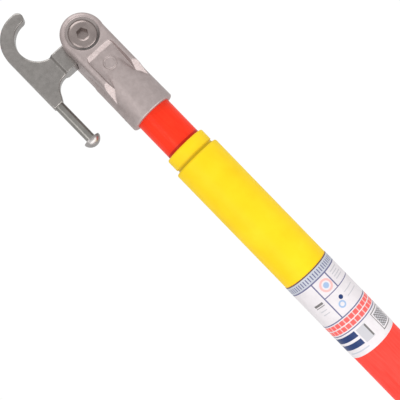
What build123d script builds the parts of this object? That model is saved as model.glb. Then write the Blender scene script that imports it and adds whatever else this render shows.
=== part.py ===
from build123d import *
import math
import os

os.makedirs("parts", exist_ok=True)

# A telescoping disconnect stick, collapsed: base, middle and tip tube nested on one axis, and a
# cast head that clamps a hook with a prong. Millimetres. Origin at the middle of the butt cap's
# foot, +Z along the pole to the head, the hook on the -X side, the pivot bolt along Y with its
# round head facing -Y.

# Fits
RUNNING = 0.08              # radial room of the hook on its bolt
SLIDE_GAP = 0.3             # radial room between a sliding tube and the lip that guides it
BORE_GAP = 0.5              # radial room between a sliding tube and the bore around it
BOND = 0.03                 # glue line between bonded pieces
REST_GAP = 0.3              # room left where a sliding section lands
FACE_GAP = 0.05             # axial room between the clamped faces at the pivot

# Base section
BASE_OD = 39.2
BASE_TOP = 640.0            # height of the ferrule's mouth above the foot
BASE_FERRULE_LENGTH = 115.2
BASE_FERRULE_WALL = 1.0
BASE_WALL = 1.9
LIP = 2.5                   # thickness of the guide lips
LIP_ROUND = 1.5
LABEL_LENGTH = 71.2
LABEL_THICK = 0.25
LABEL_GAP = 0.15
CAP_HEIGHT = 46.0
CAP_WALL = 2.2
CAP_FLOOR = 5.0
CAP_ROUND = 3.0
CAP_GROOVE = 1.6            # width of a grip groove round the cap
CAP_GROOVE_DEPTH = 0.8
CAP_GROOVES = 5
CAP_GROOVE_PITCH = 5.5
CUSHION_HEIGHT = 20.0
LOCK_DROP = 28.0            # a lock hole's distance below its ferrule's mouth
LOCK_ROOM = 0.3             # radial room of a button in its lock hole

# Middle section
MID_WALL = 2.1
MID_FERRULE_WALL = 1.2
MID_FERRULE_LENGTH = 60.0
MID_SHOWS = 12.5            # length of the middle ferrule above the base ferrule
MARK_GROOVE_WIDTH = 2.1     # groove round the ferrule that marks the closed position
MARK_GROOVE_DEPTH = 0.8
MARK_GROOVE_UP = 0.4        # its lower edge above the base ferrule's mouth

# Tip section
TIP_WALL = 1.9
TIP_SHOWS = 32.9            # bare tube between the middle ferrule and the head's mouth

# Plugs, lock buttons and wear bands
PLUG_FLANGE = 4.0
PLUG_LENGTH = 88.0
PLUG_CORE = 5.0             # radius of the moulded hollow in a plug's foot
PLUG_CORE_DEPTH = 48.0
BUTTON_BELOW_TOP = 18.0     # button's distance below its plug's top
BUTTON_R = 3.9
BUTTON_FLANGE_R = 4.7
BUTTON_FLANGE = 2.0
BUTTON_THROW = 5.0          # how far a button springs out into its lock hole
BUTTON_PRESS = 2.0          # how far it can be pressed in from its stowed place
BUTTON_DOME = 1.6           # height of a button's domed face
BUTTON_GAP = 0.15           # between the stowed button and the bore it slides along
SPRING_R = 2.6
SPRING_WIRE = 0.35
SPRING_TURNS = 4
SPRING_SEAT = 4.0           # spring seat's distance past the plug's axis
PLUG_PIN_R = 1.5
PLUG_PIN_UP = 14.0
BAND_THICK = 0.7
BAND_HEIGHT = 12.0

# Head casting
SOCKET_WALL = 3.9
SOCKET_DEPTH = 38.0
SOCKET_ROUND = 1.4
SOCKET_FLARE = 0.3          # how much wider the socket is at its mouth
SOCKET_FLARE_LENGTH = 24.0
MOUTH_TO_PIVOT = 72.9
FORK_HALF_WIDTH = 16.0
FORK_HALF_THICK = 20.7
FORK_ROUND = 3.9
FORK_BELOW_PIVOT = 36.6     # where the flat faces start to slope down to the socket
EAR_R = 16.4                # the ears' round ends, a little wider than the fork's sides
FORK_SLOPE = 36.0           # degrees between that slope and the pole's axis
SHOULDER_BELOW_PIVOT = 32.0 # where the socket's side starts to run out into the fork
SHOULDER_RUN = 17.0
SLOT_ROOM = 0.7             # room between the hook's boss and the slot's round floor
WEB_ROOM = 0.6              # room between the level hook and the web that stops it
POCKET_HALF_WIDTH = 12.0    # at the fork's faces
POCKET_TOP_BELOW_PIVOT = 15.0
POCKET_CORNER = 4.0
POCKET_DRAFT = 18.0
POCKET_RAMP = 3.4           # length of the slope at the pocket's top
POCKET_DEPTH = 2.4          # below the fork's face, at the foot of that slope
POCKET_FALL = 7.0           # degrees that the floor falls away under the socket's round
PAD_R = 4.9
PAD_UP = 44.8               # centre of the round cast pad above the socket's mouth
PAD_PROUD = 0.5
PAD_DISH = 0.35
HEAD_PIN_R = 2.5
HEAD_PIN_UP = (11.0, 27.0)  # the two pins' heights above the mouth

# Pivot bolt set, metric 12
BOLT_R = 6.0
BOLT_HEAD_R = 11.2
BOLT_HEAD_HEIGHT = 6.6
BOLT_HEAD_ROUND = 3.7       # width of the round shoulder round the head
BOLT_HEAD_FALL = 2.2        # how far that shoulder falls to the head's edge
BOLT_KEY = 8.0
BOLT_KEY_DEPTH = 4.6
BOLT_KEY_SINK = 0.45        # depth of the countersink round the key's mouth
BOLT_KEY_RIM = 1.5          # its width past the key's flats
BOLT_HOLE_ROOM = 0.25
BOLT_SEAT_ROOM = 0.15       # room round the head in its seat
BOLT_SEAT_CHAMFER = 1.4
BOLT_SEAT_DEPTH = 6.8
BOLT_END_PROUD = 0.8
NUT_FLATS = 18.0
NUT_HEIGHT = 8.0
NUT_ROOM = 0.25
NUT_POCKET_DEPTH = 8.5
WASHER_THICK = 2.5
WASHER_R = 8.9
WASHER_SPLIT = 1.2
TOOTH_WASHER_THICK = 0.6
TOOTH_WASHER_R = 11.0
TEETH = 20
TOOTH_DEPTH = 1.4

# Hook and prong. Places are measured from the pivot: out is towards -X, up is towards +Z.
TONGUE_THICK = 14.6
TONGUE_ABOVE = 7.6          # the tongue's edges above and below the pivot
TONGUE_BELOW = 9.4
TONGUE_BOSS_R = 13.0
TONGUE_REACH = 25.2
TONGUE_STEP_RUN = 2.4
PLATE_THICK = 9.0
PLATE_ROUND = 1.1
THROAT_R = 16.5
THROAT_OUT = 24.1
FINGER_WIDTH = 8.55
BACK_OUT = 50.6             # outer straight edge of the hook
BACK_ARC_R = 23.6
FOOT_BELOW = 22.3           # end face of the plate that carries the prong
FOOT_WIDTH = 8.2
FOOT_SLANT_OUT = 2.9
FOOT_SLANT_UP = 4.9
HEEL_R = 11.8
FOOT_CORNER = 1.4           # rounding of the foot's inner corner
BACK_CORNER = 1.0           # rounding of its outer corner
PRONG_R = 3.8
PRONG_INSET = 4.4           # the prong's axis inside the hook's back edge
PRONG_LENGTH = 33.5
PRONG_STUD_R = 2.6
PRONG_STUD = 10.0
PRONG_STUD_END = 3.4
PRONG_BUTTON_R = 6.75
PRONG_BUTTON_HEIGHT = 5.9
PRONG_BUTTON_RIM = 1.1

# Places worked out from the sizes above
BASE_R = BASE_OD / 2
BASE_BORE = BASE_R - BASE_WALL
MID_R = BASE_BORE - BORE_GAP
MID_BORE = MID_R - MID_WALL
TIP_R = MID_BORE - BORE_GAP
TIP_BORE = TIP_R - TIP_WALL
SOCKET_R = TIP_R + SOCKET_WALL
MID_BOTTOM = CAP_FLOOR + CUSHION_HEIGHT + REST_GAP
MID_TOP = BASE_TOP + MID_SHOWS
TIP_BOTTOM = MID_BOTTOM + PLUG_FLANGE + PLUG_LENGTH + REST_GAP
MOUTH = MID_TOP + TIP_SHOWS
PIVOT = MOUTH + MOUTH_TO_PIVOT
SLOT_HALF = TONGUE_THICK / 2 + TOOTH_WASHER_THICK + FACE_GAP
PRONG_OUT = BACK_OUT - PRONG_INSET
THROAT_UP = TONGUE_ABOVE + THROAT_R
BUTTON_UP = PLUG_LENGTH - BUTTON_BELOW_TOP
FOOT = PIVOT - FOOT_BELOW


def rod(radius, low, high):
    """A solid cylinder on the pole's axis."""
    return Pos(0, 0, low) * Cylinder(
        radius, high - low, align=(Align.CENTER, Align.CENTER, Align.MIN)
    )


def turned(points):
    """A solid of revolution about the pole's axis from (radius, height) points."""
    return revolve(Plane.XZ * make_face(Polyline(*points, close=True)), Axis.Z)


def along_y(shape, y, z):
    """Lays a shape made upwards along -Y, with its zero plane at y."""
    return Pos(0, y, z) * Rot(90, 0, 0) * shape


def cross_rod(radius, half_length, z):
    """A cylinder across the pole along X."""
    return Pos(0, 0, z) * Rot(0, 90, 0) * Cylinder(radius, 2 * half_length)


def side_rod(radius, start, end, z):
    """A cylinder that stands out of the pole's back, along +Y."""
    return Pos(0, start, z) * Rot(-90, 0, 0) * Cylinder(
        radius, end - start, align=(Align.CENTER, Align.CENTER, Align.MIN)
    )


def dome_arc(radius, rim, tip):
    """A profile's arc from a rim at this radius to a tip on the axis, round about the axis."""
    rise = tip - rim
    ball = (radius**2 + rise**2) / (2 * abs(rise))
    centre = tip - math.copysign(ball, rise)
    half = math.asin(radius / ball) / 2
    middle = (ball * math.sin(half), centre + math.copysign(ball * math.cos(half), rise))
    return ThreePointArc((radius, rim), middle, (0, tip))


def section_tube(outer, bore, low, high, ferrule_wall, ferrule_length, band):
    """A tube with its top ground down for the ferrule and its foot for the wear band."""
    top = high - LIP
    ground = outer - ferrule_wall - BOND
    step = high - ferrule_length
    points = [(bore, low), (outer, low), (outer, step), (ground, step), (ground, top), (bore, top)]
    if band:
        foot = outer - band
        points[1:2] = [(foot, low), (foot, low + BAND_HEIGHT), (outer, low + BAND_HEIGHT)]
    return turned(points)


def ferrule(outer, wall, high, length, lip_bore):
    """A moulded sleeve over a tube's top, with a guide lip over the tube's end."""
    low = high - length
    inner = outer - wall
    profile = make_face(
        Polyline(
            (inner, low), (outer, low), (outer, high), (lip_bore, high),
            (lip_bore, high - LIP + BOND), (inner, high - LIP + BOND), close=True,
        )
    )
    outer_corner = profile.vertices().sort_by(Axis.Y)[-2:].sort_by(Axis.X)[-1:]
    profile = fillet(outer_corner, LIP_ROUND)
    inner = profile.vertices().filter_by(lambda v: abs(v.X - lip_bore) < 1e-6)
    profile = chamfer(inner.sort_by(Axis.Y)[-1:], 0.4)
    return revolve(Plane.XZ * profile, Axis.Z)


def base_tube():
    tube = section_tube(
        BASE_R, BASE_BORE, CAP_FLOOR, BASE_TOP, BASE_FERRULE_WALL, BASE_FERRULE_LENGTH, 0
    )
    return tube - side_rod(BUTTON_R + LOCK_ROOM, 0, BASE_OD, BASE_TOP - LOCK_DROP)


def base_ferrule():
    sleeve = ferrule(BASE_R, BASE_FERRULE_WALL, BASE_TOP, BASE_FERRULE_LENGTH, MID_R + SLIDE_GAP)
    return sleeve - side_rod(BUTTON_R + LOCK_ROOM, 0, BASE_OD, BASE_TOP - LOCK_DROP)


def rating_label():
    high = BASE_TOP - BASE_FERRULE_LENGTH - LABEL_GAP
    inner = BASE_R + BOND
    return rod(inner + LABEL_THICK, high - LABEL_LENGTH, high) - rod(
        inner, high - LABEL_LENGTH - 1, high + 1
    )


def butt_cap():
    outer = BASE_R + CAP_WALL
    profile = make_face(
        Polyline(
            (0, 0), (outer, 0), (outer, CAP_HEIGHT), (BASE_R + BOND, CAP_HEIGHT),
            (BASE_R + BOND, CAP_FLOOR - BOND), (0, CAP_FLOOR - BOND), close=True,
        )
    )
    foot = profile.vertices().filter_by(lambda v: v.X > outer - 0.01 and v.Y < 0.01)
    profile = chamfer(foot, CAP_ROUND)
    rim = profile.vertices().filter_by(lambda v: v.X > outer - 0.01 and v.Y > CAP_HEIGHT - 0.01)
    profile = chamfer(rim, 0.6 * CAP_WALL)
    cap = revolve(Plane.XZ * profile, Axis.Z)
    for index in range(CAP_GROOVES):
        height = CAP_HEIGHT / 2 + (index - (CAP_GROOVES - 1) / 2) * CAP_GROOVE_PITCH
        cap -= rod(outer + 1, height - CAP_GROOVE / 2, height + CAP_GROOVE / 2) - rod(
            outer - CAP_GROOVE_DEPTH, height - CAP_GROOVE, height + CAP_GROOVE
        )
    return cap


def butt_cushion():
    radius = BASE_BORE - BOND
    high = CAP_FLOOR + CUSHION_HEIGHT
    cushion = rod(radius, CAP_FLOOR, high)
    return chamfer(cushion.edges().sort_by(Axis.Z)[-1], 1.0)


def section_plug(bore, outer, low):
    """The moulded plug in a section's foot: flange, hollow core and the button's cross bore."""
    top = low + PLUG_FLANGE + PLUG_LENGTH
    button = low + PLUG_FLANGE + BUTTON_UP
    plug = rod(outer - BAND_THICK, low, low + PLUG_FLANGE)
    plug += rod(bore - BOND, low + PLUG_FLANGE, top)
    plug = chamfer(plug.edges().filter_by(GeomType.CIRCLE).sort_by(Axis.Z)[-1], 1.0)
    plug -= rod(PLUG_CORE, low - 1, low + PLUG_CORE_DEPTH)
    plug -= side_rod(BUTTON_FLANGE_R + 0.2, -SPRING_SEAT, outer, button)
    return plug - cross_rod(PLUG_PIN_R + BOND, outer, low + PLUG_FLANGE + PLUG_PIN_UP)


def sliding_tube(outer, bore, low, high, ferrule_wall, ferrule_length):
    """A section's tube, with the holes for its own button and plug pin."""
    foot = low + PLUG_FLANGE
    tube = section_tube(outer, bore, foot, high, ferrule_wall, ferrule_length, BAND_THICK)
    tube -= side_rod(BUTTON_R + 0.2, 0, 2 * outer, foot + BUTTON_UP)
    return tube - cross_rod(PLUG_PIN_R + BOND, 2 * outer, foot + PLUG_PIN_UP)


def plug_pin(outer, low):
    pin = cross_rod(PLUG_PIN_R, outer - 0.3, low + PLUG_FLANGE + PLUG_PIN_UP)
    return chamfer(pin.edges().filter_by(GeomType.CIRCLE), 0.3)


def wear_band(outer, low):
    """A slip ring of bearing plastic round the ground foot of a tube, a little proud of the tube."""
    foot = low + PLUG_FLANGE
    inner = outer - BAND_THICK + BOND
    proud = outer + BORE_GAP - SLIDE_GAP
    band = turned(
        [
            (inner, foot), (proud - 0.1, foot), (proud, foot + 1), (proud, foot + BAND_HEIGHT - 1),
            (proud - 0.1, foot + BAND_HEIGHT), (inner, foot + BAND_HEIGHT),
        ]
    )
    gap = Pos(0, -outer, foot + BAND_HEIGHT / 2) * Rot(0, 25, 0) * Box(1.0, outer, 3 * BAND_HEIGHT)
    return band - gap


def lock_button(bore_around, bore, low):
    """A domed button on a flange, stowed against the bore around its section."""
    height = low + PLUG_FLANGE + BUTTON_UP
    face = bore_around - BUTTON_GAP
    flange_top = bore - BUTTON_THROW
    rim = face - BUTTON_DOME
    profile = make_face(
        Polyline(
            (0, flange_top - BUTTON_FLANGE), (BUTTON_FLANGE_R, flange_top - BUTTON_FLANGE),
            (BUTTON_FLANGE_R, flange_top), (BUTTON_R, flange_top), (BUTTON_R, rim),
        )
        + dome_arc(BUTTON_R, rim, face)
        + Line((0, face), (0, flange_top - BUTTON_FLANGE))
    )
    return Pos(0, 0, height) * Rot(-90, 0, 0) * revolve(Plane.XZ * profile, Axis.Z)


def button_spring(bore, low):
    """A coil spring from its seat in the plug to the underside of the button's flange."""
    height = low + PLUG_FLANGE + BUTTON_UP
    start = -SPRING_SEAT + SPRING_WIRE + 0.05
    end = bore - BUTTON_THROW - BUTTON_FLANGE - SPRING_WIRE - 0.05
    path = Helix((end - start) / SPRING_TURNS, end - start, SPRING_R)
    wire = Plane(origin=path @ 0, z_dir=path % 0) * RegularPolygon(SPRING_WIRE, 6)
    return Pos(0, start, height) * Rot(-90, 0, 0) * sweep(wire, path=path)


def middle_tube():
    tube = sliding_tube(
        MID_R, MID_BORE, MID_BOTTOM, MID_TOP, MID_FERRULE_WALL, MID_FERRULE_LENGTH
    )
    return tube - side_rod(BUTTON_R + LOCK_ROOM, 0, 2 * MID_R, MID_TOP - LOCK_DROP)


def middle_ferrule():
    sleeve = ferrule(MID_R, MID_FERRULE_WALL, MID_TOP, MID_FERRULE_LENGTH, TIP_R + SLIDE_GAP)
    groove = BASE_TOP + MARK_GROOVE_UP
    sleeve -= rod(MID_R + 1, groove, groove + MARK_GROOVE_WIDTH) - rod(
        MID_R - MARK_GROOVE_DEPTH, groove - 1, groove + MARK_GROOVE_WIDTH + 1
    )
    return sleeve - side_rod(BUTTON_R + LOCK_ROOM, 0, 2 * MID_R, MID_TOP - LOCK_DROP)


def tip_tube():
    """The tip section's tube, whose plain top is glued and pinned in the head's socket."""
    foot = TIP_BOTTOM + PLUG_FLANGE
    top = MOUTH + SOCKET_DEPTH
    band = TIP_R - BAND_THICK
    tube = turned(
        [
            (TIP_BORE, foot), (band, foot), (band, foot + BAND_HEIGHT),
            (TIP_R, foot + BAND_HEIGHT), (TIP_R, top), (TIP_BORE, top),
        ]
    )
    tube -= side_rod(BUTTON_R + 0.2, 0, 2 * TIP_R, foot + BUTTON_UP)
    tube -= cross_rod(PLUG_PIN_R + BOND, 2 * TIP_R, foot + PLUG_PIN_UP)
    for up in HEAD_PIN_UP:
        tube -= cross_rod(HEAD_PIN_R + BOND, 2 * TIP_R, MOUTH + up)
    return tube


def fork_block():
    """The fork as one block: round-ended flat ears whose faces slope down into the socket."""
    slope_end = FORK_HALF_THICK - SOCKET_R * 0.45
    slope_low = PIVOT - FORK_BELOW_PIVOT - slope_end / math.tan(math.radians(FORK_SLOPE))
    top = PIVOT + EAR_R + 1
    plan = Pos(0, (slope_low + PIVOT) / 2) * Rectangle(2 * FORK_HALF_WIDTH, PIVOT - slope_low)
    plan += Pos(0, PIVOT) * Circle(EAR_R)
    side = make_face(
        Polyline(
            (-FORK_HALF_THICK, PIVOT - FORK_BELOW_PIVOT), (-FORK_HALF_THICK, top),
            (FORK_HALF_THICK, top), (FORK_HALF_THICK, PIVOT - FORK_BELOW_PIVOT),
            (FORK_HALF_THICK - slope_end, slope_low), (slope_end - FORK_HALF_THICK, slope_low),
            close=True,
        )
    )
    block = extrude(Plane.XZ * plan, FORK_HALF_THICK, both=True)
    block = block & extrude(Plane.YZ * side, EAR_R + 1, both=True)
    faces = block.faces().filter_by(Axis.Y).sort_by(Axis.Y)
    return fillet([*faces[0].edges(), *faces[-1].edges()], FORK_ROUND)


def pocket_cutter():
    """What is cut from each outer face of the fork, down to a sloping floor and the socket's round."""
    low = PIVOT - FORK_BELOW_PIVOT - FORK_HALF_THICK / 2
    high = PIVOT - POCKET_TOP_BELOW_PIVOT
    plan = Pos(0, (low + high) / 2) * Rectangle(2 * POCKET_HALF_WIDTH, high - low)
    plan = fillet(plan.vertices().sort_by(Axis.Y)[-2:], POCKET_CORNER)
    floor = SOCKET_R * math.cos(math.asin(POCKET_HALF_WIDTH / SOCKET_R)) + 1
    pocket = extrude(Plane.XZ.offset(FORK_HALF_THICK) * plan, floor - FORK_HALF_THICK, taper=POCKET_DRAFT)
    pocket += extrude(Plane.XZ.offset(FORK_HALF_THICK) * plan, 2)
    pocket = pocket - rod(SOCKET_R, low - 1, PIVOT)
    foot = high - POCKET_RAMP
    top_floor = POCKET_DEPTH - FORK_HALF_THICK
    low_floor = top_floor + (foot - low) * math.tan(math.radians(POCKET_FALL))
    kept = make_face(
        Polyline(
            (-FORK_HALF_THICK, high), (top_floor, foot), (low_floor, low - 1), (0, low - 1),
            (0, PIVOT), (-FORK_HALF_THICK, PIVOT), close=True,
        )
    )
    pocket = pocket - extrude(Plane.YZ * kept, 2 * SOCKET_R, both=True)
    return pocket + mirror(pocket, Plane.XZ)


def socket_body():
    """The round socket, a little flared at its mouth and drawn in under the fork."""
    shoulder = PIVOT - SHOULDER_BELOW_PIVOT
    body = turned(
        [
            (0, MOUTH), (SOCKET_R + SOCKET_FLARE, MOUTH), (SOCKET_R, MOUTH + SOCKET_FLARE_LENGTH),
            (SOCKET_R, shoulder), (FORK_HALF_WIDTH - 0.6, shoulder + SHOULDER_RUN),
            (0, shoulder + SHOULDER_RUN),
        ]
    )
    return fillet(body.edges().sort_by(Axis.Z)[0], SOCKET_ROUND)


def cast_pad():
    """A round dished pad, raised on the socket's front."""
    start = SOCKET_R - 3
    pad = Cylinder(PAD_R, 3 + PAD_PROUD, align=(Align.CENTER, Align.CENTER, Align.MIN))
    pad = chamfer(pad.edges().sort_by(Axis.Z)[-1], PAD_PROUD / 2)
    dish = Pos(0, 0, 3 + PAD_PROUD - PAD_DISH) * Cylinder(
        PAD_R - 1.1, PAD_DISH + 1, align=(Align.CENTER, Align.CENTER, Align.MIN)
    )
    return along_y(pad - dish, -start, MOUTH + PAD_UP)


def fork_slot():
    """The space between the ears: round about the hook's boss, open above the web on both sides."""
    boss = along_y(Cylinder(TONGUE_BOSS_R + SLOT_ROOM, 2 * SLOT_HALF), 0, PIVOT)
    web = PIVOT - TONGUE_BELOW - WEB_ROOM
    return boss + Pos(0, 0, web) * Box(
        4 * SOCKET_R, 2 * SLOT_HALF, 3 * SOCKET_R, align=(Align.CENTER, Align.CENTER, Align.MIN)
    )


def head_casting():
    body = socket_body() + fork_block()
    body -= pocket_cutter()
    body += cast_pad()
    body -= fork_slot()
    body -= rod(TIP_R + BOND, MOUTH - 1, MOUTH + SOCKET_DEPTH + BOND)
    for up in HEAD_PIN_UP:
        body -= cross_rod(HEAD_PIN_R + BOND, 2 * SOCKET_R, MOUTH + up)
    body -= along_y(Cylinder(BOLT_R + BOLT_HOLE_ROOM, 4 * FORK_HALF_THICK), 0, PIVOT)
    seat_r = BOLT_HEAD_R + BOLT_SEAT_ROOM
    seat = turned(
        [
            (0, 0), (seat_r, 0), (seat_r, BOLT_SEAT_DEPTH - BOLT_SEAT_CHAMFER),
            (seat_r + BOLT_SEAT_CHAMFER, BOLT_SEAT_DEPTH),
            (seat_r + BOLT_SEAT_CHAMFER, BOLT_SEAT_DEPTH + 1), (0, BOLT_SEAT_DEPTH + 1),
        ]
    )
    body -= along_y(seat, -FORK_HALF_THICK + BOLT_SEAT_DEPTH, PIVOT)
    nut_room = extrude(
        RegularPolygon(NUT_FLATS / 2 + NUT_ROOM, 6, major_radius=False), 2 * NUT_POCKET_DEPTH
    )
    return body - Pos(0, FORK_HALF_THICK - NUT_POCKET_DEPTH, PIVOT) * Rot(-90, 0, 0) * nut_room


def head_pins():
    """Two rolled pins across the socket, flush with its sides."""
    pins = []
    for up in HEAD_PIN_UP:
        pin = cross_rod(HEAD_PIN_R, SOCKET_R - 0.3, MOUTH + up)
        pins.append(chamfer(pin.edges().filter_by(GeomType.CIRCLE), 0.4))
    return Compound(children=pins)


def pivot_bolt():
    """A round-headed socket bolt, seated in the front ear and ending just past its nut."""
    seat = FORK_HALF_THICK - BOLT_SEAT_DEPTH
    nut_face = FORK_HALF_THICK - NUT_POCKET_DEPTH + WASHER_THICK + NUT_HEIGHT
    length = seat + nut_face + BOLT_END_PROUD
    flat = BOLT_HEAD_R - BOLT_HEAD_ROUND
    edge = BOLT_HEAD_HEIGHT - BOLT_HEAD_FALL
    bend = (BOLT_HEAD_ROUND**2 + BOLT_HEAD_FALL**2) / (2 * BOLT_HEAD_FALL)
    half = math.asin(BOLT_HEAD_ROUND / bend) / 2
    middle = (flat + bend * math.sin(half), BOLT_HEAD_HEIGHT - bend * (1 - math.cos(half)))
    profile = make_face(
        Polyline(
            (flat, BOLT_HEAD_HEIGHT), (0, BOLT_HEAD_HEIGHT), (0, 0), (BOLT_HEAD_R, 0),
            (BOLT_HEAD_R, edge),
        )
        + ThreePointArc((BOLT_HEAD_R, edge), middle, (flat, BOLT_HEAD_HEIGHT))
    )
    bolt = revolve(Plane.XZ * profile, Axis.Z)
    shank = rod(BOLT_R, -length, 0)
    bolt += chamfer(shank.edges().sort_by(Axis.Z)[0], 0.8)
    key = extrude(RegularPolygon(BOLT_KEY / 2, 6, major_radius=False), BOLT_KEY_DEPTH + 1)
    bolt -= Pos(0, 0, BOLT_HEAD_HEIGHT - BOLT_KEY_DEPTH) * key
    sink = Cone(
        BOLT_KEY / 2, BOLT_KEY / 2 + BOLT_KEY_RIM, BOLT_KEY_SINK,
        align=(Align.CENTER, Align.CENTER, Align.MIN),
    )
    bolt -= Pos(0, 0, BOLT_HEAD_HEIGHT - BOLT_KEY_SINK) * sink
    return along_y(bolt, -seat, PIVOT)


def tooth_washers():
    """A toothed washer between the hook's tongue and each ear."""
    washer = Cylinder(TOOTH_WASHER_R, TOOTH_WASHER_THICK) - Cylinder(
        BOLT_R + BOLT_HOLE_ROOM, 2 * TOOTH_WASHER_THICK
    )
    notch = extrude(RegularPolygon(TOOTH_DEPTH, 3), TOOTH_WASHER_THICK, both=True)
    for place in PolarLocations(TOOTH_WASHER_R, TEETH):
        washer -= place * Rot(0, 0, 180) * notch
    offset_y = SLOT_HALF - TOOTH_WASHER_THICK / 2
    return Compound(children=[along_y(washer, side * offset_y, PIVOT) for side in (-1, 1)])


def pivot_spring_washer():
    """A split washer under the nut."""
    washer = Cylinder(WASHER_R, WASHER_THICK - 2 * BOND) - Cylinder(BOLT_R + BOLT_HOLE_ROOM, 9)
    washer -= Pos(WASHER_R, 0, 0) * Rot(30, 0, 0) * Box(WASHER_R, WASHER_SPLIT, 4 * WASHER_THICK)
    return along_y(washer, FORK_HALF_THICK - NUT_POCKET_DEPTH + WASHER_THICK / 2, PIVOT)


def pivot_nut():
    nut = extrude(RegularPolygon(NUT_FLATS / 2, 6, major_radius=False), NUT_HEIGHT)
    corner = NUT_FLATS / math.sqrt(3)
    flat = NUT_FLATS / 2
    drop = (corner - flat) * math.tan(math.radians(30))
    nut &= turned(
        [
            (0, 0), (flat, 0), (corner + 0.01, drop), (corner + 0.01, NUT_HEIGHT - drop),
            (flat, NUT_HEIGHT), (0, NUT_HEIGHT),
        ]
    )
    nut -= rod(BOLT_R + BOND, -1, NUT_HEIGHT + 1)
    return Pos(0, FORK_HALF_THICK - NUT_POCKET_DEPTH + WASHER_THICK, PIVOT) * Rot(-90, 0, 0) * nut


def hook_outline():
    """The flat hook seen from the front: tongue, round throat, finger, back edge and foot."""
    throat = (THROAT_OUT, THROAT_UP)
    finger_r = FINGER_WIDTH / 2
    finger_up = THROAT_UP + THROAT_R + finger_r
    back_up = finger_up + finger_r - BACK_ARC_R
    back_in = BACK_OUT - BACK_ARC_R
    slope = math.sqrt(0.5)
    foot_in = BACK_OUT - FOOT_WIDTH
    heel_end = (foot_in - FOOT_SLANT_OUT, -FOOT_BELOW + FOOT_SLANT_UP)
    heel_rise = -TONGUE_BELOW - HEEL_R
    heel_out = heel_end[0] - math.sqrt(HEEL_R**2 - (heel_end[1] - heel_rise) ** 2)
    heel_turn = math.atan2(heel_end[1] - heel_rise, heel_end[0] - heel_out)
    heel_mid = (heel_turn + math.pi / 2) / 2

    def at(out, up):
        return (-out, PIVOT + up)

    edges = Line(at(0, TONGUE_ABOVE), at(throat[0], TONGUE_ABOVE))
    edges += ThreePointArc(
        at(throat[0], TONGUE_ABOVE),
        at(throat[0] + THROAT_R, THROAT_UP),
        at(throat[0], THROAT_UP + THROAT_R),
    )
    edges += ThreePointArc(
        at(throat[0], THROAT_UP + THROAT_R),
        at(throat[0] - finger_r, finger_up),
        at(throat[0], finger_up + finger_r),
    )
    edges += Line(at(throat[0], finger_up + finger_r), at(back_in, finger_up + finger_r))
    edges += ThreePointArc(
        at(back_in, finger_up + finger_r),
        at(back_in + slope * BACK_ARC_R, back_up + slope * BACK_ARC_R),
        at(BACK_OUT, back_up),
    )
    edges += Line(at(BACK_OUT, back_up), at(BACK_OUT, -FOOT_BELOW))
    edges += Line(at(BACK_OUT, -FOOT_BELOW), at(foot_in, -FOOT_BELOW))
    edges += Line(at(foot_in, -FOOT_BELOW), at(*heel_end))
    edges += ThreePointArc(
        at(*heel_end),
        at(heel_out + HEEL_R * math.cos(heel_mid), heel_rise + HEEL_R * math.sin(heel_mid)),
        at(heel_out, -TONGUE_BELOW),
    )
    edges += Line(at(heel_out, -TONGUE_BELOW), at(0, -TONGUE_BELOW))
    edges += Line(at(0, -TONGUE_BELOW), at(0, TONGUE_ABOVE))
    outline = make_face(edges)
    outline = fillet(outline.vertices().sort_by(Axis.Y)[:2].sort_by(Axis.X)[-1:], FOOT_CORNER)
    return fillet(outline.vertices().sort_by(Axis.Y)[:3].sort_by(Axis.X)[:1], BACK_CORNER)


def hook_tongue():
    """The thick tongue that turns between the ears, stepping down to the plate."""
    half = TONGUE_THICK / 2
    plan = make_face(
        Polyline(
            (0, -half), (0, half), (-TONGUE_REACH, half),
            (-TONGUE_REACH - TONGUE_STEP_RUN, PLATE_THICK / 2 - 0.4),
            (-TONGUE_REACH - TONGUE_STEP_RUN, 0.4 - PLATE_THICK / 2),
            (-TONGUE_REACH, -half), close=True,
        )
    )
    arm = Pos(0, 0, PIVOT - TONGUE_BELOW) * extrude(plan, TONGUE_BELOW + TONGUE_ABOVE)
    boss = along_y(Cylinder(TONGUE_BOSS_R, TONGUE_THICK), 0, PIVOT)
    return arm + boss


def hook_casting():
    plate = extrude(Plane.XZ * hook_outline(), PLATE_THICK / 2, both=True)
    faces = plate.faces().filter_by(Axis.Y).sort_by(Axis.Y)
    rims = [
        edge
        for face in (faces[0], faces[-1])
        for edge in face.edges()
        if edge.center().X < -0.5
    ]
    hook = fillet(rims, PLATE_ROUND) + hook_tongue()
    hook -= along_y(Cylinder(BOLT_R + RUNNING, 3 * TONGUE_THICK), 0, PIVOT)
    stud = rod(PRONG_STUD_R + BOND, FOOT - 1, FOOT + PRONG_STUD)
    return hook - Pos(-PRONG_OUT, 0, 0) * stud


def prong_rod():
    """The round prong, with a stud at each end."""
    low = FOOT - PRONG_LENGTH
    high = FOOT + PRONG_STUD - 0.5
    prong = rod(PRONG_R, low, FOOT)
    prong += rod(PRONG_STUD_R, low - PRONG_STUD_END + 0.3, high)
    return Pos(-PRONG_OUT, 0, 0) * prong


def prong_button():
    """The domed end of the prong."""
    high = FOOT - PRONG_LENGTH
    rim = high - PRONG_BUTTON_RIM
    low = high - PRONG_BUTTON_HEIGHT
    profile = make_face(
        Polyline((0, high), (PRONG_BUTTON_R, high), (PRONG_BUTTON_R, rim))
        + dome_arc(PRONG_BUTTON_R, rim, low)
        + Line((0, low), (0, high))
    )
    dome = revolve(Plane.XZ * profile, Axis.Z)
    dome -= rod(PRONG_STUD_R + BOND, high - PRONG_STUD_END, high + 1)
    return Pos(-PRONG_OUT, 0, 0) * dome


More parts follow.
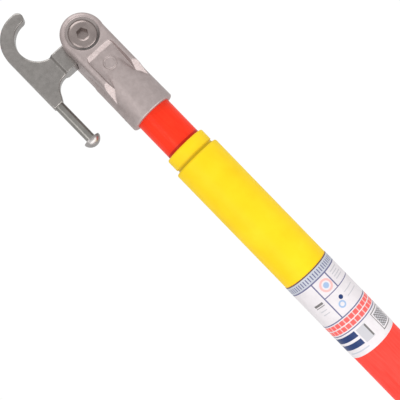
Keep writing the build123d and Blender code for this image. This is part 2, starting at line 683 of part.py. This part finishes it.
NODES = {
    "base_tube": base_tube,
    "base_ferrule": base_ferrule,
    "rating_label": rating_label,
    "butt_cap": butt_cap,
    "butt_cushion": butt_cushion,
    "middle_tube": middle_tube,
    "middle_ferrule": middle_ferrule,
    "middle_plug": lambda: section_plug(MID_BORE, MID_R, MID_BOTTOM),
    "middle_plug_pin": lambda: plug_pin(MID_R, MID_BOTTOM),
    "middle_wear_band": lambda: wear_band(MID_R, MID_BOTTOM),
    "middle_button": lambda: lock_button(BASE_BORE, MID_BORE, MID_BOTTOM),
    "middle_button_spring": lambda: button_spring(MID_BORE, MID_BOTTOM),
    "tip_tube": tip_tube,
    "tip_plug": lambda: section_plug(TIP_BORE, TIP_R, TIP_BOTTOM),
    "tip_plug_pin": lambda: plug_pin(TIP_R, TIP_BOTTOM),
    "tip_wear_band": lambda: wear_band(TIP_R, TIP_BOTTOM),
    "tip_button": lambda: lock_button(MID_BORE, TIP_BORE, TIP_BOTTOM),
    "tip_button_spring": lambda: button_spring(TIP_BORE, TIP_BOTTOM),
    "head_casting": head_casting,
    "head_pins": head_pins,
    "pivot_bolt": pivot_bolt,
    "tooth_washers": tooth_washers,
    "pivot_spring_washer": pivot_spring_washer,
    "pivot_nut": pivot_nut,
    "hook_casting": hook_casting,
    "prong_rod": prong_rod,
    "prong_button": prong_button,
}

for name, make in NODES.items():
    export_step(make(), f"parts/{name}.step")
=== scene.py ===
import math

import bpy
from mathutils import Matrix, Vector


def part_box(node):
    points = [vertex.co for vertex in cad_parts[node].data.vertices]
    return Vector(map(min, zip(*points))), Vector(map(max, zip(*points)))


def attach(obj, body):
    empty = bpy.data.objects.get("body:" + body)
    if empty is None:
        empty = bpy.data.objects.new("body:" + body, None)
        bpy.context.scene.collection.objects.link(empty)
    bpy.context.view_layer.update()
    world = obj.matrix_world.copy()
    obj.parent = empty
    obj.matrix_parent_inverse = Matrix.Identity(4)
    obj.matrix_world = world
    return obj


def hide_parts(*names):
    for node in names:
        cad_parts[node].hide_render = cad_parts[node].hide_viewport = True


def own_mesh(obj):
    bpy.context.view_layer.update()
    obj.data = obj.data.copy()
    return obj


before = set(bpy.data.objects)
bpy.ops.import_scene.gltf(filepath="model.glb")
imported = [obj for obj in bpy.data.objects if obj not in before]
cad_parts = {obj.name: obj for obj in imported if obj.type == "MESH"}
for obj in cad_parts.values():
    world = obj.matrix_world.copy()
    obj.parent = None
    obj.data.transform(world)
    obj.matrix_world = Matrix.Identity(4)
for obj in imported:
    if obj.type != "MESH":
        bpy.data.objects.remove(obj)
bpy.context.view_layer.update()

# Places on the pole, in metres, read from the frame
FERRULE_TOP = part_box("base_ferrule")[1][2]
COLLAR_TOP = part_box("middle_ferrule")[1][2]
LABEL_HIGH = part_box("rating_label")[1][2]
LABEL_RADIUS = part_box("rating_label")[1][0]

# Camera: turned a little round the pole to the hook's side, and rolled so that the pole runs down
# to the lower right. PIXEL is what one pixel spans at the pole, in metres. The lens and the
# picture's width are in pixels, and the sensor in millimetres
TURN = math.radians(7.0)
ROLL = math.radians(44.16)
PIXEL = 0.00074
LENS_PIXELS = 657.0
PICTURE_PIXELS = 400.0
SENSOR_WIDTH = 36.0
AIM_DOWN = 0.0246
AIM_ASIDE = 0.01996
NEAREST_SEEN = 0.01
FARTHEST_SEEN = 50.0

view_way = Vector((math.sin(TURN), math.cos(TURN), 0.0))
side_way = Vector((math.cos(TURN), -math.sin(TURN), 0.0))
up_way = Vector((0.0, 0.0, 1.0))
camera_up = up_way * math.cos(ROLL) + side_way * math.sin(ROLL)
camera_right = side_way * math.cos(ROLL) - up_way * math.sin(ROLL)
aim = Vector((0.0, 0.0, FERRULE_TOP - AIM_DOWN)) - side_way * AIM_ASIDE

camera_data = bpy.data.cameras.new("photo_camera")
camera_data.sensor_width = SENSOR_WIDTH
camera_data.lens = LENS_PIXELS * SENSOR_WIDTH / PICTURE_PIXELS
camera_data.clip_start = NEAREST_SEEN
camera_data.clip_end = FARTHEST_SEEN
camera = bpy.data.objects.new("photo_camera", camera_data)
bpy.context.scene.collection.objects.link(camera)
camera_axes = Matrix((camera_right, camera_up, -view_way)).transposed().to_4x4()
camera.matrix_world = Matrix.Translation(aim - view_way * PIXEL * LENS_PIXELS) @ camera_axes
bpy.context.scene.camera = camera
bpy.context.scene.view_settings.view_transform = "Standard"

MM = 1000.0
WHITE = (1.0, 1.0, 1.0, 1.0)
SMOOTH_ANGLE = math.radians(40.0)
ROUND_SIDES = 96


# Materials: the node work that they share
def new_material(name):
    """A material with its shader, and the Object coordinates that its patterns read."""
    material = bpy.data.materials.new(name)
    material.use_nodes = True
    nodes = material.node_tree.nodes
    shader = nodes["Principled BSDF"]
    place = nodes.new("ShaderNodeTexCoord")
    return material, nodes, material.node_tree.links, shader, place.outputs["Object"]


def stretch(nodes, links, coordinates, scale):
    """The same coordinates, stretched along the pole or across it."""
    mapping = nodes.new("ShaderNodeMapping")
    mapping.inputs["Scale"].default_value = scale
    links.new(coordinates, mapping.inputs["Vector"])
    return mapping.outputs["Vector"]


def noise(nodes, links, coordinates, scale, detail=3.0, roughness=0.5):
    """Uneven cloudiness from 0 to 1, at this many waves a metre."""
    texture = nodes.new("ShaderNodeTexNoise")
    texture.inputs["Scale"].default_value = scale
    texture.inputs["Detail"].default_value = detail
    texture.inputs["Roughness"].default_value = roughness
    links.new(coordinates, texture.inputs["Vector"])
    return texture.outputs["Fac"]


def ramp(nodes, links, value, stops):
    """A colour ramp: a list of (place, colour)."""
    blend = nodes.new("ShaderNodeValToRGB")
    elements = blend.color_ramp.elements
    while len(elements) < len(stops):
        elements.new(position=0.5)
    for element, (place, colour) in zip(elements, stops):
        element.position = place
        element.color = (*colour, 1.0)
    links.new(value, blend.inputs["Fac"])
    return blend.outputs["Color"]


def spread(nodes, links, value, low, high):
    """A 0 to 1 value brought to a range, as for roughness."""
    remap = nodes.new("ShaderNodeMapRange")
    remap.inputs["To Min"].default_value = low
    remap.inputs["To Max"].default_value = high
    links.new(value, remap.inputs["Value"])
    return remap.outputs["Result"]


def bump(nodes, links, height, strength, depth, normal=None):
    """Relief this deep, in metres, laid over the surface or over another relief's normal."""
    node = nodes.new("ShaderNodeBump")
    node.inputs["Strength"].default_value = strength
    node.inputs["Distance"].default_value = depth
    links.new(height, node.inputs["Height"])
    if normal is not None:
        links.new(normal, node.inputs["Normal"])
    return node.outputs["Normal"]


def reckon(nodes, links, operation, *values):
    """One Math node, fed with wires and plain numbers."""
    node = nodes.new("ShaderNodeMath")
    node.operation = operation
    for socket, value in zip(node.inputs, values):
        if isinstance(value, float):
            socket.default_value = value
        else:
            links.new(value, socket)
    return node.outputs["Value"]


def print_or_shade(nodes, links, under, ink_or_shade, mask):
    """Ink or painted shade laid over the colour under it where the mask is 1."""
    mix = nodes.new("ShaderNodeMix")
    mix.data_type = "RGBA"
    mix.inputs["B"].default_value = (*ink_or_shade, 1.0)
    links.new(mask, mix.inputs["Factor"])
    links.new(under, mix.inputs["A"])
    return mix.outputs["Result"]


# Colours of painted shade for a groove and for the tube at a stop, and how much the band's edge wavers
YELLOW_PAINTED_SHADE = (0.68, 0.48, 0.001)
RED_PAINTED_SHADE = (0.56, 0.016, 0.002)
SHADE_EDGE_WAVER = 0.5


def painted_shade_band(nodes, links, place, colour, clouds, ink_or_shade, middle, half):
    """Painted shade in a band round the pole, at this height in millimetres, with an uneven edge."""
    split = nodes.new("ShaderNodeSeparateXYZ")
    links.new(place, split.inputs["Vector"])
    height = reckon(nodes, links, "MULTIPLY", split.outputs["Z"], MM)
    uneven = reckon(
        nodes, links, "MULTIPLY_ADD", clouds, SHADE_EDGE_WAVER, middle - SHADE_EDGE_WAVER / 2
    )
    band = reckon(nodes, links, "COMPARE", height, uneven, half)
    return print_or_shade(nodes, links, colour, ink_or_shade, band)


# Materials: the finishes
def red_gel_coat(name, deep, mean, pale, shine, shade_middle=0.0, shade_half=0.0):
    """Glass fibre tube: fine wound strands under a clear coat, and a band of painted shade at a stop.
    """
    material, nodes, links, shader, place = new_material(name)
    wound = stretch(nodes, links, place, scale=(900.0, 900.0, 60.0))
    strands = noise(nodes, links, wound, scale=1.0, detail=4.0)
    clouds = noise(nodes, links, place, scale=40.0)
    mixed = nodes.new("ShaderNodeMix")
    mixed.data_type = "FLOAT"
    mixed.inputs["Factor"].default_value = 0.45
    links.new(strands, mixed.inputs["A"])
    links.new(clouds, mixed.inputs["B"])
    colour = ramp(
        nodes, links, mixed.outputs["Result"],
        [(0.3, deep), (0.55, mean), (0.75, pale)],
    )
    # Painted shade: an optional darker band round the tube, where a part next to it meets it
    if shade_half:
        colour = painted_shade_band(nodes, links, place, colour, clouds, RED_PAINTED_SHADE, shade_middle, shade_half)
    links.new(colour, shader.inputs["Base Color"])
    links.new(spread(nodes, links, clouds, low=0.32, high=0.46), shader.inputs["Roughness"])
    links.new(bump(nodes, links, strands, strength=0.12, depth=0.0002), shader.inputs["Normal"])
    shader.inputs["Specular IOR Level"].default_value = shine
    shader.inputs["Coat Weight"].default_value = shine / 2
    shader.inputs["Coat Roughness"].default_value = 0.12
    return material


def yellow_moulding(name, shade_middle=0.0, shade_half=0.0):
    """Moulded ferrule plastic: satin, with a faint grain and paler scuffs, and painted shade in a
    groove.
    """
    material, nodes, links, shader, place = new_material(name)
    grain = noise(nodes, links, place, scale=1500.0, detail=2.0)
    clouds = noise(nodes, links, place, scale=55.0, detail=4.0)
    colour = ramp(
        nodes, links, clouds,
        [(0.3, (0.90, 0.60, 0.001)), (0.55, (0.94, 0.645, 0.004)), (0.8, (0.96, 0.68, 0.012))],
    )
    # Painted shade: an optional darker band round the groove
    if shade_half:
        colour = painted_shade_band(nodes, links, place, colour, clouds, YELLOW_PAINTED_SHADE, shade_middle, shade_half)
    links.new(colour, shader.inputs["Base Color"])
    links.new(spread(nodes, links, clouds, low=0.42, high=0.55), shader.inputs["Roughness"])
    links.new(bump(nodes, links, grain, strength=0.1, depth=0.00008), shader.inputs["Normal"])
    shader.inputs["Specular IOR Level"].default_value = 0.25
    return material


def cast_metal(name, dark, light, rough, grain_size, pit_depth, worn_edge):
    """Tumbled casting: mottled grey, fine pits, soft waves left by the mould, and worn edges."""
    material, nodes, links, shader, place = new_material(name)
    pits = noise(nodes, links, place, scale=grain_size, detail=5.0, roughness=0.62)
    waves = noise(nodes, links, place, scale=120.0, detail=2.0)
    mottle = noise(nodes, links, place, scale=260.0, detail=6.0, roughness=0.65)
    colour = ramp(nodes, links, mottle, [(0.3, dark), (0.7, light)])
    links.new(colour, shader.inputs["Base Color"])
    links.new(
        spread(nodes, links, pits, low=rough - 0.08, high=rough + 0.1), shader.inputs["Roughness"]
    )
    edges = nodes.new("ShaderNodeBevel")
    edges.samples = 8
    edges.inputs["Radius"].default_value = worn_edge
    soft = bump(nodes, links, waves, strength=0.25, depth=0.0004, normal=edges.outputs["Normal"])
    pitted = bump(nodes, links, pits, strength=0.35, depth=pit_depth, normal=soft)
    links.new(pitted, shader.inputs["Normal"])
    shader.inputs["Metallic"].default_value = 0.85
    return material


def turned_steel(name, dark, light, rough):
    """Plain steel with faint lathe and handling marks."""
    material, nodes, links, shader, place = new_material(name)
    marks = noise(nodes, links, place, scale=700.0, detail=4.0)
    smears = noise(nodes, links, place, scale=150.0)
    links.new(ramp(nodes, links, smears, [(0.3, dark), (0.7, light)]), shader.inputs["Base Color"])
    links.new(
        spread(nodes, links, marks, low=rough - 0.06, high=rough + 0.08), shader.inputs["Roughness"]
    )
    links.new(bump(nodes, links, marks, strength=0.12, depth=0.0001), shader.inputs["Normal"])
    shader.inputs["Metallic"].default_value = 0.95
    return material


def plain_moulding(name, dark, light, rough, grain_size):
    """Rubber or hidden plastic: an even moulded grain."""
    material, nodes, links, shader, place = new_material(name)
    grain = noise(nodes, links, place, scale=grain_size)
    links.new(ramp(nodes, links, grain, [(0.35, dark), (0.65, light)]), shader.inputs["Base Color"])
    links.new(
        spread(nodes, links, grain, low=rough - 0.06, high=rough + 0.06), shader.inputs["Roughness"]
    )
    links.new(bump(nodes, links, grain, strength=0.2, depth=0.0002), shader.inputs["Normal"])
    return material


def grease_with_painted_shade(name, lit_top_colour, shaded_bottom_colour, middle, reach):
    """Grease round a bolt's head, paler at its top as painted light and dark at the bottom as painted
    shade.
    """
    material, nodes, links, shader, place = new_material(name)
    cloudiness = 0.3
    grit = noise(nodes, links, place, scale=1500.0)
    clouds = noise(nodes, links, place, scale=300.0)
    split = nodes.new("ShaderNodeSeparateXYZ")
    links.new(place, split.inputs["Vector"])
    # Painted shade: darker towards the bottom of the ring, with painted light at its top
    shade_by_height = reckon(
        nodes, links, "MULTIPLY_ADD", split.outputs["Z"], -1.0 / reach, middle / reach - cloudiness / 2
    )
    uneven = reckon(nodes, links, "MULTIPLY_ADD", clouds, cloudiness, shade_by_height)
    links.new(ramp(nodes, links, uneven, [(0.1, lit_top_colour), (0.75, shaded_bottom_colour)]), shader.inputs["Base Color"])
    links.new(spread(nodes, links, grit, low=0.35, high=0.5), shader.inputs["Roughness"])
    links.new(bump(nodes, links, grit, strength=0.2, depth=0.0001), shader.inputs["Normal"])
    return material


# Label inks
OLD_PAPER = (0.69, 0.65, 0.67)
PAPER = (0.74, 0.70, 0.72)
STRIP_INK = (0.50, 0.52, 0.58)
LINE_INK = (0.12, 0.12, 0.24)
# A dark band along the label's upper edge, next to the ferrule's end
EDGE_DARK_BAND = (0.07, 0.055, 0.04)
GREY_INK = (0.16, 0.15, 0.15)
PALE_GREY_INK = (0.52, 0.51, 0.54)
RED_INK = (0.86, 0.11, 0.10)
PINK_INK = (0.88, 0.45, 0.43)
BLUE_INK = (0.001, 0.025, 0.13)
PALE_BLUE_INK = (0.32, 0.45, 0.66)

# The print is laid out in millimetres: round the tube from the label's front line, and down from a
# line this far below the label's upper edge
PRINT_DOWN = 1.2

# Plain blocks of ink: middle and half width round the tube, top and bottom down it
ALL_ROUND = 90.0
CHECK_PANEL = (15.5, 5.6, 53.0, 64.4)
LABEL_BLOCKS = [
    (0.0, ALL_ROUND, -0.4, 6.0, STRIP_INK),
    (0.0, ALL_ROUND, -1.2, -0.4, EDGE_DARK_BAND),
    (0.0, ALL_ROUND, 6.0, 7.0, LINE_INK),
    (0.0, ALL_ROUND, 38.3, 39.2, LINE_INK),
    (0.0, ALL_ROUND, 48.9, 49.7, LINE_INK),
    (20.2, 28.3, 20.2, 20.9, LINE_INK),
    (5.6, 0.5, 6.4, 20.6, LINE_INK),
    (-8.1, 0.5, 6.4, 38.9, LINE_INK),
    (14.0, 5.0, 9.2, 10.0, PALE_GREY_INK),
    (13.0, 4.0, 11.4, 12.2, PALE_GREY_INK),
    (14.0, 5.0, 13.6, 14.4, PALE_GREY_INK),
    (13.5, 4.5, 15.8, 16.6, PALE_GREY_INK),
    (12.0, 6.0, 26.2, 26.9, PALE_GREY_INK),
    (12.0, 6.0, 30.0, 30.7, PALE_GREY_INK),
    (-15.0, 4.0, 20.6, 22.4, GREY_INK),
    (-15.0, 4.0, 23.2, 23.8, GREY_INK),
    (-15.0, 3.0, 26.6, 27.4, PALE_GREY_INK),
    (-15.0, 3.0, 29.6, 30.4, PALE_GREY_INK),
    (-20.0, 11.0, 51.2, 62.8, BLUE_INK),
    (-20.0, 11.0, 56.0, 58.2, PAPER),
    (-18.0, 10.0, 65.6, 66.6, STRIP_INK),
    (-3.6, 4.1, 51.6, 63.4, PALE_GREY_INK),
    (-0.2, 0.7, 52.4, 62.6, GREY_INK),
    (15.5, 7.2, 51.2, 66.2, GREY_INK),
    (15.5, 6.6, 51.9, 65.5, PAPER),
    (*CHECK_PANEL, PALE_GREY_INK),
]
# Rings and discs: middle round the tube and down it, radius, half thickness, ink
LABEL_RINGS = [
    (-0.3, 13.8, 4.2, 0.8, PINK_INK),
    (-0.3, 13.8, 0.0, 2.2, PALE_BLUE_INK),
    (1.6, 27.0, 0.0, 1.7, BLUE_INK),
    (-1.2, 31.4, 2.2, 0.6, PALE_BLUE_INK),
]
# The tick scale, the two rows of bricks (top, and shift round the tube) and the checks. A share is
# the inked part of each pitch
TICKS_TOP = 0.9
TICKS_BOTTOM = 4.9
TICK_PITCH = 2.3
TICK_SHARE = 0.36
BRICK_PITCH = 4.4
BRICK_SHARE = 0.8
BRICK_HEIGHT = 3.6
BRICK_ROWS = [
    (40.0, 0.0),
    (44.4, BRICK_PITCH / 2),
]
CHECK_SIZE = 1.3


def label_film():
    """White film, printed with ruled lines, a tick scale, blocks of plain colour and a check."""
    material, nodes, links, shader, place = new_material("label_film")
    split = nodes.new("ShaderNodeSeparateXYZ")
    links.new(place, split.inputs["Vector"])
    front = reckon(nodes, links, "MULTIPLY", split.outputs["Y"], -1.0)
    angle = reckon(nodes, links, "ARCTAN2", split.outputs["X"], front)
    around = reckon(nodes, links, "MULTIPLY", angle, LABEL_RADIUS * MM)
    below = reckon(
        nodes, links, "MULTIPLY_ADD", split.outputs["Z"], -MM, LABEL_HIGH * MM - PRINT_DOWN
    )

    def box(middle, half, top, bottom):
        aside = reckon(nodes, links, "COMPARE", around, middle, half)
        along = reckon(nodes, links, "COMPARE", below, (top + bottom) / 2, (bottom - top) / 2)
        return reckon(nodes, links, "MULTIPLY", aside, along)

    def repeat(pitch, share, shift=0.0):
        moved = reckon(nodes, links, "ADD", around, shift)
        step = reckon(nodes, links, "FLOORED_MODULO", moved, pitch)
        return reckon(nodes, links, "LESS_THAN", step, pitch * share)

    age = noise(nodes, links, place, scale=220.0, detail=4.0)
    colour = ramp(nodes, links, age, [(0.3, OLD_PAPER), (0.7, PAPER)])
    for middle, half, top, bottom, ink_or_shade in LABEL_BLOCKS:
        colour = print_or_shade(nodes, links, colour, ink_or_shade, box(middle, half, top, bottom))
    flat = nodes.new("ShaderNodeCombineXYZ")
    links.new(around, flat.inputs["X"])
    links.new(below, flat.inputs["Y"])
    for middle, low, radius, half, ink_or_shade in LABEL_RINGS:
        away = nodes.new("ShaderNodeVectorMath")
        away.operation = "DISTANCE"
        away.inputs[1].default_value = (middle, low, 0.0)
        links.new(flat.outputs["Vector"], away.inputs[0])
        ring = reckon(nodes, links, "COMPARE", away.outputs["Value"], radius, half)
        colour = print_or_shade(nodes, links, colour, ink_or_shade, ring)
    scale_strip = box(0.0, ALL_ROUND, TICKS_TOP, TICKS_BOTTOM)
    ticks = reckon(nodes, links, "MULTIPLY", repeat(TICK_PITCH, TICK_SHARE), scale_strip)
    colour = print_or_shade(nodes, links, colour, LINE_INK, ticks)
    for top, shift in BRICK_ROWS:
        row = box(0.0, ALL_ROUND, top, top + BRICK_HEIGHT)
        bricks = reckon(nodes, links, "MULTIPLY", repeat(BRICK_PITCH, BRICK_SHARE, shift), row)
        colour = print_or_shade(nodes, links, colour, PINK_INK, row)
        colour = print_or_shade(nodes, links, colour, RED_INK, bricks)
    checker = nodes.new("ShaderNodeTexChecker")
    checker.inputs["Scale"].default_value = 1.0 / CHECK_SIZE
    links.new(flat.outputs["Vector"], checker.inputs["Vector"])
    checks = reckon(nodes, links, "MULTIPLY", checker.outputs["Fac"], box(*CHECK_PANEL))
    colour = print_or_shade(nodes, links, colour, GREY_INK, checks)
    links.new(colour, shader.inputs["Base Color"])
    links.new(spread(nodes, links, age, low=0.3, high=0.4), shader.inputs["Roughness"])
    ripples = noise(nodes, links, place, scale=90.0, detail=2.0)
    links.new(bump(nodes, links, ripples, strength=0.15, depth=0.0003), shader.inputs["Normal"])
    return material


# Rings of painted shade: in the collar's groove over the ferrule, and on the tip tube over the collar.
# Heights and half widths are in millimetres
GROOVE_SHADE_UP = 0.8
GROOVE_SHADE_HALF = 0.9
TUBE_SHADE_UP = 0.9
TUBE_SHADE_HALF = 1.2

CLEAN_REDS = [(0.88, 0.026, 0.006), (0.95, 0.038, 0.010), (0.98, 0.055, 0.016)]
WORN_REDS = [(0.88, 0.047, 0.033), (0.95, 0.072, 0.054), (0.98, 0.10, 0.08)]

RED = red_gel_coat("red_gel_coat", *CLEAN_REDS, shine=0.14)
WORN_RED = red_gel_coat("worn_red_gel_coat", *WORN_REDS, shine=0.04)
# Painted shade on the tip tube: a darker band just over the collar
TIP_RED = red_gel_coat(
    "tip_red_gel_coat", *CLEAN_REDS, shine=0.14,
    shade_middle=COLLAR_TOP * MM + TUBE_SHADE_UP, shade_half=TUBE_SHADE_HALF,
)
YELLOW = yellow_moulding("yellow_moulding")
# Painted shade in the collar's groove over the ferrule
GROOVED_YELLOW = yellow_moulding(
    "grooved_yellow",
    shade_middle=FERRULE_TOP * MM + GROOVE_SHADE_UP, shade_half=GROOVE_SHADE_HALF,
)
HEAD_METAL = cast_metal(
    "head_metal", dark=(0.42, 0.357, 0.346), light=(0.52, 0.447, 0.436),
    rough=0.5, grain_size=900.0, pit_depth=0.0002, worn_edge=0.0009,
)
HOOK_METAL = cast_metal(
    "hook_metal", dark=(0.28, 0.264, 0.25), light=(0.37, 0.348, 0.332),
    rough=0.22, grain_size=800.0, pit_depth=0.0001, worn_edge=0.0018,
)
BOLT_STEEL = turned_steel(
    "bolt_steel", dark=(0.30, 0.253, 0.242), light=(0.375, 0.32, 0.304), rough=0.28
)
PRONG_STEEL = turned_steel(
    "prong_steel", dark=(0.27, 0.26, 0.243), light=(0.355, 0.341, 0.318), rough=0.22
)
BUTTON_STEEL = turned_steel(
    "button_steel", dark=(0.35, 0.33, 0.32), light=(0.45, 0.43, 0.42), rough=0.32
)
PIN_STEEL = turned_steel(
    "pin_steel", dark=(0.38, 0.37, 0.36), light=(0.46, 0.45, 0.44), rough=0.3
)
SPRING_STEEL = turned_steel(
    "spring_steel", dark=(0.30, 0.29, 0.28), light=(0.42, 0.41, 0.40), rough=0.25
)
RUBBER = plain_moulding(
    "cap_rubber", dark=(0.012, 0.012, 0.012), light=(0.028, 0.028, 0.028), rough=0.7, grain_size=900.0
)
GREY_PLASTIC = plain_moulding(
    "plug_plastic", dark=(0.12, 0.125, 0.13), light=(0.17, 0.175, 0.18), rough=0.5, grain_size=1200.0
)
WHITE_PLASTIC = plain_moulding(
    "band_plastic", dark=(0.66, 0.66, 0.62), light=(0.76, 0.76, 0.72), rough=0.4, grain_size=1200.0
)
LABEL = label_film()

# Finish of each CAD node. The pins, washers and other small hidden steel take pin steel
FINISH = {
    "base_tube": WORN_RED,
    "middle_tube": RED,
    "tip_tube": TIP_RED,
    "base_ferrule": YELLOW,
    "middle_ferrule": GROOVED_YELLOW,
    "rating_label": LABEL,
    "butt_cap": RUBBER,
    "butt_cushion": RUBBER,
    "middle_plug": GREY_PLASTIC,
    "tip_plug": GREY_PLASTIC,
    "middle_wear_band": WHITE_PLASTIC,
    "tip_wear_band": WHITE_PLASTIC,
    "middle_button": WHITE_PLASTIC,
    "tip_button": WHITE_PLASTIC,
    "head_casting": HEAD_METAL,
    "hook_casting": HOOK_METAL,
    "prong_rod": PRONG_STEEL,
    "prong_button": BUTTON_STEEL,
    "pivot_bolt": BOLT_STEEL,
    "pivot_nut": BOLT_STEEL,
}
for name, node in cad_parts.items():
    node.data.materials.clear()
    node.data.materials.append(FINISH.get(name, PIN_STEEL))


# A ring of grease packed in the groove round the bolt's head, a little below the ear's face, with
# painted light at its top
# and painted shade at its bottom: its section's corners, each as radius and depth
SHADE_RING_CORNERS = [
    (0.0104, 0.00126),
    (0.01212, 0.00056),
    (0.01145, 0.00124),
    (0.0111, 0.00195),
]
BOLT_HEAD_BELOW_FACE = 0.0002

bolt_low, bolt_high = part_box("pivot_bolt")
ear_face = bolt_low[1] - BOLT_HEAD_BELOW_FACE
pivot_height = (bolt_low[2] + bolt_high[2]) / 2
first_radius, first_depth = SHADE_RING_CORNERS[0]
widest_radius = SHADE_RING_CORNERS[1][0]
bpy.ops.object.select_all(action="DESELECT")
bpy.ops.mesh.primitive_circle_add(
    vertices=ROUND_SIDES,
    radius=first_radius,
    location=(0.0, ear_face + first_depth, pivot_height),
    rotation=(math.radians(90.0), 0.0, 0.0),
)
grease_shade_ring = bpy.context.active_object
grease_shade_ring.name = "pivot_grease_shade_ring"
bpy.ops.object.transform_apply(location=True, rotation=True, scale=True)
bpy.ops.object.mode_set(mode="EDIT")
bpy.ops.mesh.select_all(action="SELECT")
for (last_radius, last_depth), (radius, depth) in zip(SHADE_RING_CORNERS, SHADE_RING_CORNERS[1:]):
    bpy.ops.mesh.extrude_edges_move(
        TRANSFORM_OT_translate={"value": (0.0, depth - last_depth, 0.0)}
    )
    growth = radius / last_radius
    bpy.ops.transform.resize(
        value=(growth, 1.0, growth), center_override=(0.0, ear_face + depth, pivot_height)
    )
bpy.ops.mesh.select_all(action="DESELECT")
bpy.ops.mesh.select_non_manifold()
bpy.ops.mesh.bridge_edge_loops()
bpy.ops.mesh.select_all(action="SELECT")
bpy.ops.mesh.normals_make_consistent(inside=False)
bpy.ops.object.mode_set(mode="OBJECT")
bpy.ops.object.shade_smooth_by_angle(angle=SMOOTH_ANGLE)
# The ring's colour is painted light at its top and painted shade at its bottom
GREASE_WITH_PAINTED_SHADE = grease_with_painted_shade(
    "grease_with_painted_shade", lit_top_colour=(0.27, 0.232, 0.222), shaded_bottom_colour=(0.06, 0.048, 0.045),
    middle=pivot_height, reach=widest_radius,
)
grease_shade_ring.data.materials.append(GREASE_WITH_PAINTED_SHADE)
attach(grease_shade_ring, "tip")

# The lock buttons' springs: round wire coils in the place of the CAD springs. Sizes
# are in metres
WIRE_RADIUS = 0.00035
WIRE_SIDES = 12
SPRING_TURNS = 4
STEPS_A_TURN = 24


def coil_spring(name, node, body):
    """A coil along Y in the place of a CAD spring, seated at its low end."""
    low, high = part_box(node)
    middle_height = (low[2] + high[2]) / 2
    length = high[1] - low[1]
    bpy.ops.object.select_all(action="DESELECT")
    bpy.ops.mesh.primitive_circle_add(
        vertices=WIRE_SIDES,
        radius=WIRE_RADIUS,
        location=(0.0, low[1] + WIRE_RADIUS, middle_height),
    )
    coil = bpy.context.active_object
    coil.name = name
    bpy.ops.object.mode_set(mode="EDIT")
    bpy.ops.mesh.select_all(action="SELECT")
    bpy.ops.transform.translate(value=(high[0] - WIRE_RADIUS, 0.0, 0.0))
    bpy.ops.object.mode_set(mode="OBJECT")
    bpy.ops.object.modifier_add(type="SCREW")
    winding = coil.modifiers[0]
    winding.axis = "Y"
    winding.iterations = SPRING_TURNS
    winding.screw_offset = (length - 2 * WIRE_RADIUS) / SPRING_TURNS
    winding.steps = STEPS_A_TURN
    winding.render_steps = STEPS_A_TURN
    bpy.ops.object.modifier_apply(modifier=winding.name)
    bpy.ops.object.mode_set(mode="EDIT")
    bpy.ops.mesh.select_all(action="SELECT")
    bpy.ops.mesh.fill_holes(sides=0)
    bpy.ops.mesh.select_all(action="SELECT")
    bpy.ops.mesh.normals_make_consistent(inside=False)
    bpy.ops.object.mode_set(mode="OBJECT")
    bpy.ops.object.transform_apply(location=True, rotation=True, scale=True)
    bpy.ops.object.shade_smooth_by_angle(angle=SMOOTH_ANGLE)
    coil.data.materials.append(SPRING_STEEL)
    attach(coil, body)
    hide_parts(node)
    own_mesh(coil)


coil_spring("middle_button_coil", "middle_button_spring", "middle")
coil_spring("tip_button_coil", "tip_button_spring", "tip")


# Lights: a softbox in front on the hook's side, one past the head and a wide low one by the butt,
# for the slopes that face them
def soft_light(name, lean, way, distance, width, height, radiance):
    """A softbox, leaning by this many degrees from straight in front towards this way."""
    data = bpy.data.lights.new(name, "AREA")
    data.shape = "RECTANGLE"
    data.size = width
    data.size_y = height
    data.energy = radiance * math.pi * width * height
    light = bpy.data.objects.new(name, data)
    bpy.context.scene.collection.objects.link(light)
    tilt = math.radians(lean)
    out = way.normalized() * math.sin(tilt) - view_way * math.cos(tilt)
    facing = out.to_track_quat("Z", "Y").to_matrix().to_4x4()
    light.matrix_world = Matrix.Translation(aim + out * distance) @ facing


soft_light(
    "hook_side_softbox", lean=38.0, way=-side_way,
    distance=1.2, width=0.6, height=0.8, radiance=1.4,
)
soft_light(
    "head_softbox", lean=68.0, way=up_way + side_way * 0.4,
    distance=1.2, width=0.8, height=0.8, radiance=2.0,
)
soft_light(
    "butt_softbox", lean=60.0, way=-up_way,
    distance=0.6, width=1.2, height=0.3, radiance=2.9,
)

# Floor: a small pale disc under the butt
FLOOR_RADIUS = 0.9
bpy.ops.object.select_all(action="DESELECT")
bpy.ops.mesh.primitive_circle_add(
    vertices=ROUND_SIDES, radius=FLOOR_RADIUS, fill_type="NGON", location=(0.0, 0.0, 0.0)
)
floor = bpy.context.active_object
floor.name = "floor"
floor_material, floor_nodes, floor_links, floor_shader, floor_place = new_material("floor_paper")
floor_tone = noise(floor_nodes, floor_links, floor_place, scale=3.0)
floor_links.new(
    ramp(floor_nodes, floor_links, floor_tone, [(0.3, (0.80, 0.80, 0.80)), (0.7, (0.84, 0.84, 0.84))]),
    floor_shader.inputs["Base Color"],
)
floor_shader.inputs["Roughness"].default_value = 0.8
floor.data.materials.append(floor_material)

# World: an even glow on the object, and paper white behind it
GLOW = 0.75
PAPER_WHITE = 1.02

world = bpy.data.worlds.new("studio")
bpy.context.scene.world = world
world.use_nodes = True
world_nodes = world.node_tree.nodes
world_links = world.node_tree.links
studio_glow = world_nodes["Background"]
studio_glow.inputs["Color"].default_value = WHITE
studio_glow.inputs["Strength"].default_value = GLOW
paper_white = world_nodes.new("ShaderNodeBackground")
paper_white.inputs["Color"].default_value = WHITE
paper_white.inputs["Strength"].default_value = PAPER_WHITE
seen = world_nodes.new("ShaderNodeLightPath")
blend = world_nodes.new("ShaderNodeMixShader")
world_links.new(seen.outputs["Is Camera Ray"], blend.inputs["Fac"])
world_links.new(studio_glow.outputs["Background"], blend.inputs[1])
world_links.new(paper_white.outputs["Background"], blend.inputs[2])
world_links.new(blend.outputs["Shader"], world_nodes["World Output"].inputs["Surface"])
